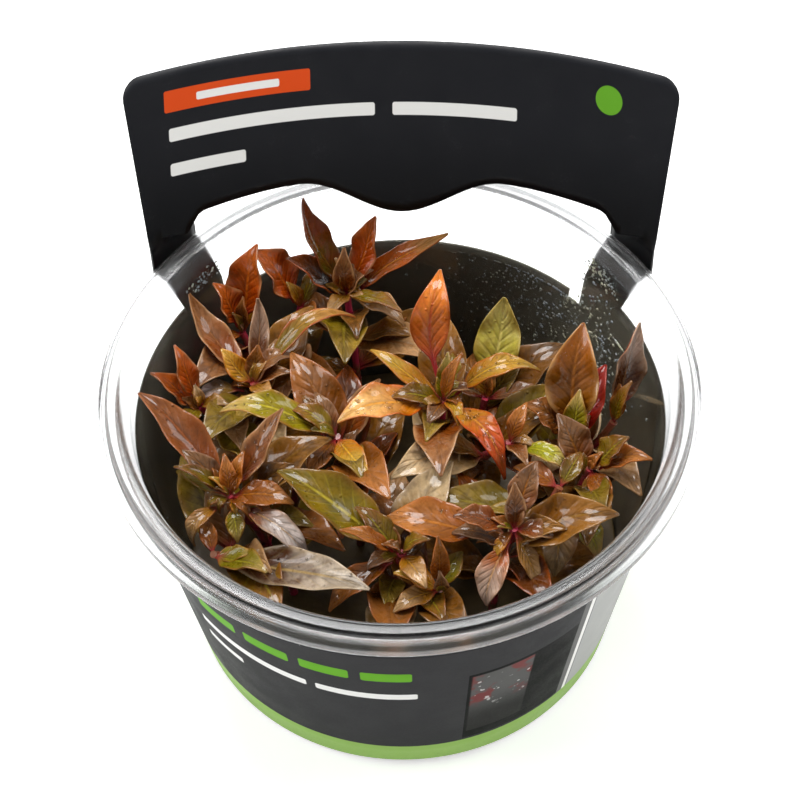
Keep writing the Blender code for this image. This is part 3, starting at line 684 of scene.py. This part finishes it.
# each node: its place, the small leaves that grow there from the stem piece (heading, rise, reach, width), then its
# leaves: heading, rise, reach, width, arch, fold, roll, drop below the node, stalk share, colour, twist, curl
shootNodes = {
    "back_left": [(-29.5, 25, 44), [(76, 14, 9, 3.5), (-134, 19, 8, 3)],
        (145, 60, 12, 6, 0.5, 20, 0, 0, 0.15, "flame", 20, 1.6),
        (68, 60, 18, 7.5, -0.5, 20, 0, 0, 0.15, "flame", -20, 1.6)],
    "back_left_inner": [(-19, 31, 44), [(61, 29, 9, 3.5), (-60, 30, 8, 3)],
        (153, 47, 15, 8.4, 1, 20, 0, 0, 0.12, "flame", 15, 1.8)],
    "back": [(-10.5, 33, 46), [(-42, 23, 15.5, 4), (93, 85, 12, 4), (-110, 20, 10, 3.5)],
        (142, 65, 22, 6, -1, 30, 0, 0, 0.1, "spike", 25, -1),
        (42, 64, 17.5, 6, -1, 15, 0, 0, 0.12, "flame", 0, 0.8),
        (10, 40, 25, 4.5, 3, 20, 0, 3, 0.15, "copper", 10, -0.5),
        (172, 42, 15, 6, 1, 20, 0, 2, 0.12, "ember", 0, 1),
        (-36, 0, 13.5, 4.5, 2.5, 15, 0, 0, 0.12, "rose", 0, 1.6)],
    "left": [(-26.5, 11, 47), [(-8, 33, 9, 3), (-60, 25, 9, 3.5)],
        (84, 53, 16, 3.5, -1, 30, 0, 0, 0.12, "silver", 14, -1),
        (132, 30, 20, 5.5, -2, 25, 0, 0, 0.12, "mauve", 16, -1),
        (34, 13, 22.5, 3.5, 6, 15, 0, 1, 0.12, "arch", 0, 1.6),
        (-169, -16, 11, 3.5, 2.5, 15, 0, 1, 0.12, "lilac", 0, 1.4)],
    "left_edge": [(-36, 6.5, 46), [(-115, 5, 6, 3.5), (-20, 30, 7, 3)],
        (164, 46, 12.5, 4.5, 1, 20, 0, 2, 0.12, "flame", 10, 1),
        (125, 58, 13, 4, 1, 20, 0, 0, 0.12, "flame", 14, 1)],
    "front_left": [(-29, -15.5, 50), [(139, -16, 13, 4), (-15, 11, 12, 5), (100, 55, 8, 3)],
        (137, 24, 24, 6.5, 0.5, 25, 0, 0, 0.08, "brick", 6, 0.8),
        (49, 38, 18, 4.8, 0, 25, 0, 0, 0.1, "mauve", -8, 0.6),
        (171, 36, 11.5, 2.7, 1, 25, 0, 0, 0.1, "olive", 0, 0.8),
        (-134, -34, 10.5, 3, 4, 15, 0, 0, 0.1, "curled", 0, 1.6),
        (-78, -30, 8, 3.2, 1, 20, 0, 0, 0.1, "lime", 0, 0.5),
        (-36, -19, 18, 4.5, 5, 15, 0, 1, 0.12, "wetBrown", 0, 1.5)],
    "front_left_low": [(-31.5, -25, 46), [(104, 10, 7, 3)],
        (-22, 13, 30, 7.4, -1.6, 20, 4, 0, 0.06, "wetDark", 10, 0.8)],
    "front": [(0.5, -26, 48), [(-10, 50, 8, 3.4), (-60, 10, 9, 4)],
        (151, 18, 25.5, 9, 1, 25, 0, 0, 0.1, "moss", 0, 0.8),
        (-175, 41, 13.5, 3.2, 1, 20, 0, 0, 0.1, "tan", 0, 0.8),
        (-146, -19, 15.5, 4.6, 2, 20, 0, 0, 0.1, "brown", 0, 0.8)],
    "front_low": [(7, -30.5, 44), [(176, 30, 9, 4), (60, 12, 8, 4), (-150, 0, 9, 4)],
        (96, 80, 13.5, 3.2, 0.5, 20, 0, 0, 0.1, "tan", 20, 0.5)],
    "middle_left": [(-11, -3, 50), [(-60, 10, 12, 4.5), (120, 28, 9, 3.5), (-120, 0, 10, 4)],
        (173, 11, 21, 6, 3, 15, 0, 0, 0.1, "lime", 0, 1.6),
        (60, 24, 16, 5, 0.5, 20, 0, 6, 0.1, "mauve", 0, 0.8)],
    "centre": [(7.5, 5, 50), [(37, 68, 11.5, 2.7), (148, 16, 16, 3.5), (-114, 12, 7, 3.4)],
        (92, 46, 23.5, 6.7, 0, 15, 0, 0, 0.3, "orange", 0, 3),
        (-159, 9, 20, 7.5, 1.5, 15, 0, 0, 0.12, "amber", 0, 1.6),
        (-54, -9, 18.5, 5, 5, 15, 0, 0, 0.1, "sunset", 0, 1.6),
        (12, 13, 18, 4.5, 5, 15, 0, 0, 0.15, "saffron", 0, 1.6)],
    "centre_right": [(19, -3.5, 49), [(60, 38, 8, 3), (-68, 26, 9, 3.2)],
        (-28, -9, 12, 3.6, 3.5, 15, 0, 0, 0.1, "fresh", 0, 1.4)],
    "middle_back": [(15, 10, 44), [(150, 12, 10, 4), (0, 15, 12, 4)],
        (73, 55, 19.5, 8, -0.5, 20, 0, 0, 0.15, "mottled", 0, -0.6)],
    "right": [(30, -0.5, 46), [(-136, 4, 8, 3.5)],
        (82, 52, 21.5, 9, 1, 30, 0, 0, 0.1, "umber", 0, 0.8),
        (155, 31, 11, 6.6, 2, 20, 0, 0.4, 0.1, "brown", 0, 1.4),
        (62, 36, 16.5, 6, 0.5, 20, 0, 3, 0.1, "garnet", 0, 0.8)],
    "right_edge": [(37.5, 2.5, 47), [(40, 68, 10, 3)],
        (69, 52, 19, 6.2, -1.5, 25, 30, 0, 0.12, "silver", 40, 1.4)],
    "right_low": [(33, -7, 46), [(-92, -35, 7, 2.8), (-68, 2, 9, 4)],
        (12, 50, 10.5, 5, 0.5, 20, 0, 0, 0.1, "olive", 0, 1),
        (-8, 27, 12, 4.3, 1, 20, 0, 0, 0.1, "tan", 0, 1),
        (130, 48, 13.4, 6.5, 0.5, 20, 0, 2.5, 0.1, "plum", 0, 0.8)],
    "front_right": [(19.5, -23.5, 52), [(90, 60, 9, 3.6), (-14, 0, 7, 4), (-55, -50, 11, 3.5)],
        (180, 21, 11, 4.8, 0.5, 20, 0, 0, 0.1, "brick", 0, 0.8),
        (172, 6, 22.5, 8, 1.5, 20, 0, 4, 0.25, "tan", 0, 0.8),
        (65, 45, 12.5, 5, 0, 25, 0, 0, 0.15, "plum", 0, 0.6),
        (-117, -45, 14, 5, 2, 20, 0, 0, 0.12, "blush", 0, 1)],
    "front_right_low": [(27.5, -13, 49), [(60, 10, 8, 3.5), (150, 0, 9, 4)],
        (-94, -33, 15, 6.5, 2, 20, 0, 0, 0.1, "curled", 0, 1.4),
        (-50, -37, 13, 4.6, 2, 20, 0, 2, 0.1, "fresh", 0, 1.2)],
}
youngColours = ["tan", "olive", "brown", "saffron", "mauve", "lime", "curled", "plum"]

# each stem's foot and the one or two nodes that it carries
stemPlaces = {
    "stem_back_left": ((-22, 20), ("back_left", "back_left_inner")),
    "stem_back": ((-8, 24), ("back",)),
    "stem_left": ((-20, 6), ("left", "left_edge")),
    "stem_front_left": ((-20, -12), ("front_left", "front_left_low")),
    "stem_front": ((-2, -20), ("front", "front_low")),
    "stem_middle_left": ((-8, -1), ("middle_left",)),
    "stem_centre": ((6, 2), ("centre", "centre_right")),
    "stem_middle_back": ((12, 9), ("middle_back",)),
    "stem_right": ((24, 1), ("right", "right_edge")),
    "stem_right_low": ((26, -8), ("right_low",)),
    "stem_front_right": ((16, -18), ("front_right", "front_right_low")),
}


# old leaves lower down: the pairs' shares of each stem, and what each leaf may be
oldLook = {
    "stemPairs": (0.86, 0.68, 0.48), "branchPairs": (0.65,), "turns": (0, 30, 60, 90, 120, 150),
    "reaches": (20, 17, 15), "rise": 28, "width": 0.42, "widths": (4.2, 8.4), "arch": 2, "fold": 14,
    "near": 0.12,
}
oldColours = ["oldBrown", "oldOlive", "pale", "oldDark", "brown", "olive", "rose", "mauve"]
paleColours = ["chalk", "oldOlive", "oldBrown", "chalk", "oldBrown", "oldOlive", "mauve", "rose"]
deepColours = ["oldBrown", "oldOlive", "oldDark", "oldDark", "ember", "oldOlive", "brown", "oldBrown"]
stemColours = {"stem_centre": paleColours, "stem_middle_left": deepColours, "stem_middle_back": deepColours,
               "stem_front_right": deepColours}

# leaves that bend clearly to one side: share of their length
leafSwings = {"centre_1": 0.1}


def direction(heading, rise):
    turn, lift = radians(heading), radians(rise)
    return Vector((cos(turn) * cos(lift), sin(turn) * cos(lift), sin(lift)))


def leafWidth(share, stalk):
    stalkWidth = leafLook["stalkWidth"]
    if share <= stalk:
        return stalkWidth
    blade = (share - stalk) / (1 - stalk)
    return stalkWidth * (1 - blade) + 0.93 * sin(pi * blade**0.8) ** 0.9 + 0.02


def bladeShape(hub, leaf, start, twist, curl, seed):
    # hands back the rule that places a point by its share along the blade and its place across it
    look = leafLook
    heading, rise, reach, width, arch, fold, roll, down, stalk = leaf
    along = direction(heading, rise)
    flat = Vector((-sin(radians(heading)), cos(radians(heading)), 0))
    lift = along.cross(flat)
    base = hub - Vector((0, 0, down)) + along * start
    length = reach - start
    draw = random.Random(seed)
    phase, swing = draw.uniform(0, 6.28), leafSwings.get(seed, draw.uniform(-0.04, 0.04))

    def spot(share, across):
        side = abs(across)
        half = max(look["leastHalf"], leafWidth(share, stalk) * width / 2 * look["wider"])
        turned = Matrix.Rotation(radians(roll + twist * share), 3, along)
        blade = max(0, (share - stalk) / (1 - stalk))
        body = sin(pi * min(1, blade)) ** 0.5
        bow = 4 * share * (1 - share) * arch + look["hook"] * curl * length * share**3 * (1 - share)
        crease = side * half * tan(radians(fold)) - 0.16 * half * sin(pi * side) * body
        veinWave = sin(6.283 * (look["veins"] * share - look["veinSweep"] * side ** look["veinBend"]))
        pucker = look["pucker"] * body * side**0.5 * veinWave * min(1, half / 2.5)
        edgeWave = sin(phase + 17 * share + (2 if across > 0 else 0))
        ripple = look["wave"] * body * side**2 * edgeWave * half / 2.5
        middle = base + along * (length * share) + lift * bow + flat * (swing * length * sin(pi * share))
        return middle + turned @ flat * (across * half) + turned @ lift * (crease + pucker + ripple)

    return spot


def newLeafMesh():
    bm = bmesh.new()
    layers = {name: bm.verts.layers.float.new(name) for name in ("along", "across", "shade", "stalk")}
    return bm, layers


def addBlade(leafMesh, hub, leaf, start, twist, curl, seed, cells, colourIndex=0):
    bm, layers = leafMesh
    spot, stalk = bladeShape(hub, leaf, start, twist, curl, seed), leaf[-1]
    shade = random.Random(seed + "shade").uniform(0.35, 0.8)
    made = bmesh.ops.create_grid(bm, x_segments=cells[0], y_segments=cells[1], size=1)["verts"]
    for vert in made:
        share, across = (vert.co.x + 1) / 2, vert.co.y
        vert.co = spot(share, across) * mm
        stalkShade = max(0, min(1, (stalk + 0.1 - share) / 0.14)) * 0.8
        for layer, value in zip(layers.values(), (share, across, shade, stalkShade)):
            vert[layer] = value
    for face in {face for vert in made for face in vert.link_faces}:
        face.material_index = colourIndex
    return spot


def leafPiece(name, leafMesh, colours, replaced, underside=0):
    made = newPiece(name, finishedMesh(leafMesh[0], name), [leafSkins[colour] for colour in colours], replaced)
    thick = made.modifiers.new("Thickness", "SOLIDIFY")
    thick.thickness = leafLook["thickness"] * mm
    thick.offset = 0
    thick.material_offset = underside
    smooth = made.modifiers.new("Smooth", "SUBSURF")
    smooth.levels = smooth.render_levels = 1


bladeRules = {}


def buildLeaf(name, hub, leaf):
    *shape, colour, twist, curl = leaf
    leafMesh = newLeafMesh()
    bladeRules[name] = addBlade(leafMesh, Vector(hub), shape, leafLook["start"], twist, curl, name,
                                leafLook["cells"])
    leafPiece("blade_" + name, leafMesh, [colour, "underside"], ["leaf_" + name], 1)


def stemPath(low, hub, lean, steps):
    # the bend lies half way up and this many thirds of the way across
    high = hub + Vector((0, 0, 0.5))
    bend = Vector(((low.x * (3 - lean) + high.x * lean) / 3, (low.y * (3 - lean) + high.y * lean) / 3,
                   (low.z + high.z) / 2))
    return bentLine(low, bend, high, steps)


def addTube(bm, path, layer):
    # rings along the path, thicker at the joints that lie a little apart
    look = stemLook
    sides, rings, walked = look["sides"], [], 0
    for k, point in enumerate(path):
        ahead = path[min(k + 1, len(path) - 1)] - path[max(k - 1, 0)]
        flat = Vector((0, 1, 0)).cross(ahead).normalized()
        other = ahead.cross(flat).normalized()
        if k:
            walked += (point - path[k - 1]).length
        swell = look["joint"] * max(0, cos(6.283 * walked / look["jointSpacing"])) ** 6
        radius = look["radius"] * (1 + swell - look["slimmer"])
        ring = []
        for turn in spread(0, 6.283185, sides)[:-1]:
            vert = bm.verts.new((point + (flat * cos(turn) + other * sin(turn)) * radius) * mm)
            vert[layer] = k / (len(path) - 1)
            ring.append(vert)
        rings.append(ring)
    for low, high in zip(rings, rings[1:]):
        for j in range(sides):
            after = (j + 1) % sides
            bm.faces.new((low[j], low[after], high[after], high[j]))
    bm.faces.new(rings[0][::-1])
    bm.faces.new(rings[-1])


def coarseLine(path, shares):
    # the stem's solid runs straight between these places of its curve
    return [path[round(share * (len(path) - 1))] for share in shares]


def buildShoot(stem):
    foot, carried = stemPlaces[stem]
    bm, layers = newLeafMesh()
    hubs = [Vector(shootNodes[node][0]) for node in carried]
    main = stemPath(Vector((*foot, stemLook["foot"])), hubs[0], 1, 16)
    addTube(bm, main, layers["along"])
    lines = [(coarseLine(main, (0, 0.25, 0.5, 0.75, 1)), oldLook["stemPairs"])]
    if len(carried) > 1:
        branch = stemPath(main[8], hubs[1], 2, 20)
        addTube(bm, branch, layers["along"])
        lines.append((coarseLine(branch, (0, 0.3, 0.6, 1)), oldLook["branchPairs"]))
    newPiece("shoot" + stem[4:], finishedMesh(bm, stem, 50), [stemSkin], [stem])
    buildYoungLeaves(stem, carried)
    return buildOldLeaves(stem, lines)


# a shorter leaf of the next pair, which lies over the foot of a longer one
sisterLook = {
    "turn": (8, 15), "rise": (6, 13), "reach": (0.85, 1.1), "width": (0.34, 0.46), "roll": (-14, 14),
    "twist": (-16, 16), "curl": (0.4, 1.8), "fold": 20, "stalk": 0.08,
}


def addSister(leafMesh, hub, leaf, start, seed, share):
    draw = random.Random(seed + "sister")

    def drawn(name):
        return draw.uniform(*sisterLook[name])

    heading = leaf[0] + draw.choice((-1, 1)) * drawn("turn")
    reach = leaf[2] * share * drawn("reach")
    sister = (heading, leaf[1] + drawn("rise"), reach, reach * drawn("width"), leaf[4] * 0.5 + 0.4,
              sisterLook["fold"], drawn("roll"), leaf[7], sisterLook["stalk"])
    addBlade(leafMesh, hub, sister, start, drawn("twist"), drawn("curl"), seed + "sister", leafLook["youngCells"],
             draw.randrange(len(youngColours)))


def buildYoungLeaves(stem, carried):
    leafMesh, draw = newLeafMesh(), random.Random(stem)
    for node in carried:
        for number, leaf in enumerate(shootNodes[node][2:]):
            for start, low, share in ((0.4, "", 0.46), (0.3, "low", 0.3)):
                addSister(leafMesh, Vector(shootNodes[node][0]), leaf, start, f"{node}{number}{low}", share)
    for node in carried:
        hub, smallLeaves = shootNodes[node][:2]
        for number, small in enumerate(smallLeaves):
            leaf = (*small, 1, 16, draw.uniform(-12, 12), 0, 0.1)
            addBlade(leafMesh, Vector(hub), leaf, 0.3, draw.uniform(-15, 15), 0.8, f"{stem}{node}{number}",
                     leafLook["youngCells"], draw.randrange(len(youngColours)))
    leafPiece("young_leaves" + stem[4:], leafMesh, youngColours, [stem])


def alongLine(points, share):
    place = share * (len(points) - 1)
    first = min(int(place), len(points) - 2)
    return points[first].lerp(points[first + 1], place - first)


def buildOldLeaves(stem, lines):
    # an old leaf grows wherever the stem's solid has one, which its tip shows
    look = oldLook
    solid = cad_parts[stem].data
    tips = KDTree(len(solid.vertices))
    for index, vert in enumerate(solid.vertices):
        tips.insert(vert.co / mm, index)
    tips.balance()
    leafMesh, draw, count = newLeafMesh(), random.Random(stem + "old"), 0
    places = [(alongLine(line, share), look["rise"] * share, turn + half, reach) for line, shares in lines
              for share in shares for turn in look["turns"] for half in (0, 180) for reach in look["reaches"]]
    for start, rise, heading, reach in places:
        if tips.find(start + direction(heading, rise) * reach)[2] > look["near"]:
            continue
        width = min(look["widths"][1], max(look["widths"][0], reach * look["width"]))
        leaf = (heading, rise, reach, width, look["arch"], look["fold"], draw.uniform(-10, 10), 0, 0.08)
        count += 1
        seed = f"{stem}old{count}"
        addBlade(leafMesh, start, leaf, 0.3, draw.uniform(-14, 14), draw.uniform(0.4, 1.6), seed,
                 leafLook["oldCells"], draw.randrange(len(oldColours)))
        addSister(leafMesh, start, leaf, 0.4, seed, 0.68)
    leafPiece("old_leaves" + stem[4:], leafMesh, stemColours.get(stem, oldColours), [stem])
    return count


# water: drops that lie on leaves, and mist on the cup's inner wall
waterLook = {
    "dropsTimes": 3,
    # leaf: how many drops, the smallest and the largest radius
    "wetLeaves": {
        "front_left_2": (9, 0.14, 0.4), "front_1": (9, 0.12, 0.3), "centre_3": (12, 0.14, 0.42),
        "centre_2": (8, 0.14, 0.45), "centre_4": (5, 0.12, 0.3), "middle_left_1": (7, 0.14, 0.35),
        "front_left_6": (6, 0.14, 0.4), "front_right_1": (9, 0.12, 0.3), "front_right_2": (9, 0.12, 0.32),
        "front_right_3": (5, 0.12, 0.28), "front_left_5": (4, 0.1, 0.22), "right_1": (8, 0.12, 0.35),
        "right_2": (7, 0.12, 0.35), "centre_right_1": (5, 0.12, 0.3), "middle_left_2": (4, 0.12, 0.3),
        "front_right_low_1": (5, 0.12, 0.3), "front_left_1": (4, 0.12, 0.25), "front_left_low_1": (8, 0.12, 0.35),
        "right_low_2": (4, 0.12, 0.3),
    },
    # leaf, share along it, place across it, radius
    "largeDrops": [("middle_left_1", 0.36, 0.3, 0.85), ("centre_3", 0.32, -0.2, 0.7), ("centre_2", 0.5, 0.35, 0.6),
                   ("front_left_6", 0.2, 0.1, 0.6)],
    # how many beads, mid angle from the back towards the right, its spread, mid height, its spread, largest radius
    "mist": [(700, 52, 11, 40, 7.5, 0.4), (420, 30, 13, 38, 7, 0.26), (110, 51, 3.5, 55.5, 1, 0.36),
             (70, -51, 3, 55.5, 1, 0.34), (90, 150, 90, 36, 9, 0.24)],
}


def beadPiece(name, beads, material, flatness):
    # one flattened ball, copied to each bead's place
    ball = bmesh.new()
    bmesh.ops.create_uvsphere(ball, u_segments=8, v_segments=6, radius=1)
    ball.verts.index_update()
    corners = [Vector((vert.co.x, vert.co.y, vert.co.z * flatness)) for vert in ball.verts]
    sides = [[vert.index for vert in face.verts] for face in ball.faces]
    ball.free()
    points, faces = [], []
    for place, outward, radius in beads:
        turn = outward.to_track_quat("Z", "Y").to_matrix()
        first = len(points)
        points += [(place + turn @ corner * radius) * mm for corner in corners]
        faces += [[first + corner for corner in side] for side in sides]
    mesh = bpy.data.meshes.new(name + "_mesh")
    mesh.from_pydata(points, [], faces)
    mesh.shade_smooth()
    newPiece(name, mesh, [material], [])


def buildDrops():
    draw = random.Random("drops")
    wanted = list(waterLook["largeDrops"])
    for leaf, (count, least, most) in waterLook["wetLeaves"].items():
        for k in range(count * waterLook["dropsTimes"]):
            size = least + (most - least) * draw.random() ** 3
            wanted.append((leaf, draw.uniform(0.22, 0.9), draw.uniform(-0.75, 0.75), size))
    beads = []
    for leaf, share, across, radius in wanted:
        spot = bladeRules[leaf]
        middle = spot(share, across)
        outward = (spot(share + 0.02, across) - middle).cross(spot(share, across + 0.04) - middle).normalized()
        if outward.z < 0:
            outward = -outward
        beads.append((middle + outward * (leafLook["thickness"] / 2 + radius * 0.1), outward, radius))
    beadPiece("leaf_drops", beads, waterMaterial(), 0.62)


def buildMist():
    draw = random.Random("mist")
    beads = []
    for count, middle, spread, height, rise, largest in waterLook["mist"]:
        for k in range(count):
            angle = radians(draw.gauss(middle, spread))
            onLeg = labelLook["legInner"] < abs(degrees(angle)) < labelLook["legOuter"]
            up = min(58 if onLeg else 45.5, max(15.5, draw.gauss(height, rise)))
            radius = 0.08 + (largest - 0.08) * draw.random() ** 2
            around = ringPoint(1, angle, 0)
            beads.append((around * (wallRadius(up) - 0.03) + Vector((0, 0, up)), -around, radius))
    beadPiece("wall_mist", beads, mistMaterial(), 0.6)


buildCup()
buildGel()
buildLabel()
print("cup, gel and label built")
for nodeName, nodeRows in shootNodes.items():
    for index, oneLeaf in enumerate(nodeRows[2:], start=1):
        buildLeaf(f"{nodeName}_{index}", nodeRows[0], oneLeaf)
oldCount = sum(buildShoot(stemName) for stemName in stemPlaces)
print("plant built:", oldCount, "old leaves")
buildDrops()
buildMist()
print("water built")


# floor, light and camera

studioLook = {
    "floor": tone(248, 248, 248), "floorGlow": 0.5, "world": white, "worldStrength": 0.28,
    "aim": (0, 0, 0.04),
    # place, size, power
    "lights": [
        ("softTop", (-0.08, 0.24, 0.8), 0.46, 6.7),
        ("softLeft", (-0.6, -0.05, 0.5), 0.4, 2.6),
        ("softRight", (0.55, 0.1, 0.5), 0.4, 2),
    ],
}


def buildFloor():
    bm = bmesh.new()
    bmesh.ops.create_grid(bm, x_segments=8, y_segments=8, size=3)
    mesh = bpy.data.meshes.new("studio_floor_mesh")
    bm.to_mesh(mesh)
    bm.free()
    made = placed("studio_floor", mesh)
    material, shader, place = newMaterial("studioFloor")
    skin = blend(noise(place, 3, 2), tone(247, 247, 247), studioLook["floor"])
    fill(shader, {"Base Color": skin, "Roughness": 0.6, "Emission Color": white,
                  "Emission Strength": studioLook["floorGlow"]})
    made.data.materials.append(material)


def buildLights():
    world = bpy.data.worlds.new("studioWorld")
    bpy.context.scene.world = world
    world.use_nodes = True
    fill(world.node_tree.nodes["Background"], {"Color": studioLook["world"], "Strength": studioLook["worldStrength"]})
    for name, place, size, power in studioLook["lights"]:
        lamp = bpy.data.lights.new(name, "AREA")
        lamp.shape = "DISK"
        lamp.size = size
        lamp.energy = power
        made = placed(name, lamp)
        made.location = place
        made.rotation_euler = (Vector(studioLook["aim"]) - Vector(place)).to_track_quat("-Z", "Y").to_euler()


# fitted to the rim, the card's corners and the foot in the picture
cameraLook = {
    "location": (9.58, -249.42, 388), "yaw": 2.2, "roll": 1.64, "up": (0, 0.7944, 0.6074),
    "back": (0, -0.6074, 0.7944), "focal": 108, "sensor": 36, "shift": (0.001, -0.0196),
}


def buildCamera():
    look = cameraLook
    lens = bpy.data.cameras.new("productCamera")
    lens.lens = look["focal"]
    lens.sensor_width = look["sensor"]
    lens.shift_x, lens.shift_y = look["shift"]
    lens.clip_start = 0.01
    made = placed("productCamera", lens)
    turn = Matrix.Rotation(radians(look["yaw"]), 3, "Z")
    right, up, back = [turn @ Vector(axis) for axis in ((1, 0, 0), look["up"], look["back"])]
    roll = radians(look["roll"])
    rolled = (right * cos(roll) - up * sin(roll), right * sin(roll) + up * cos(roll), back)
    made.matrix_world = Matrix.Translation(Vector(look["location"]) * mm) @ Matrix(rolled).transposed().to_4x4()
    bpy.context.scene.camera = made


bpy.context.scene.view_settings.view_transform = "Standard"  # plain colours, as product pictures have
buildFloor()
buildLights()
buildCamera()
print("studio built")
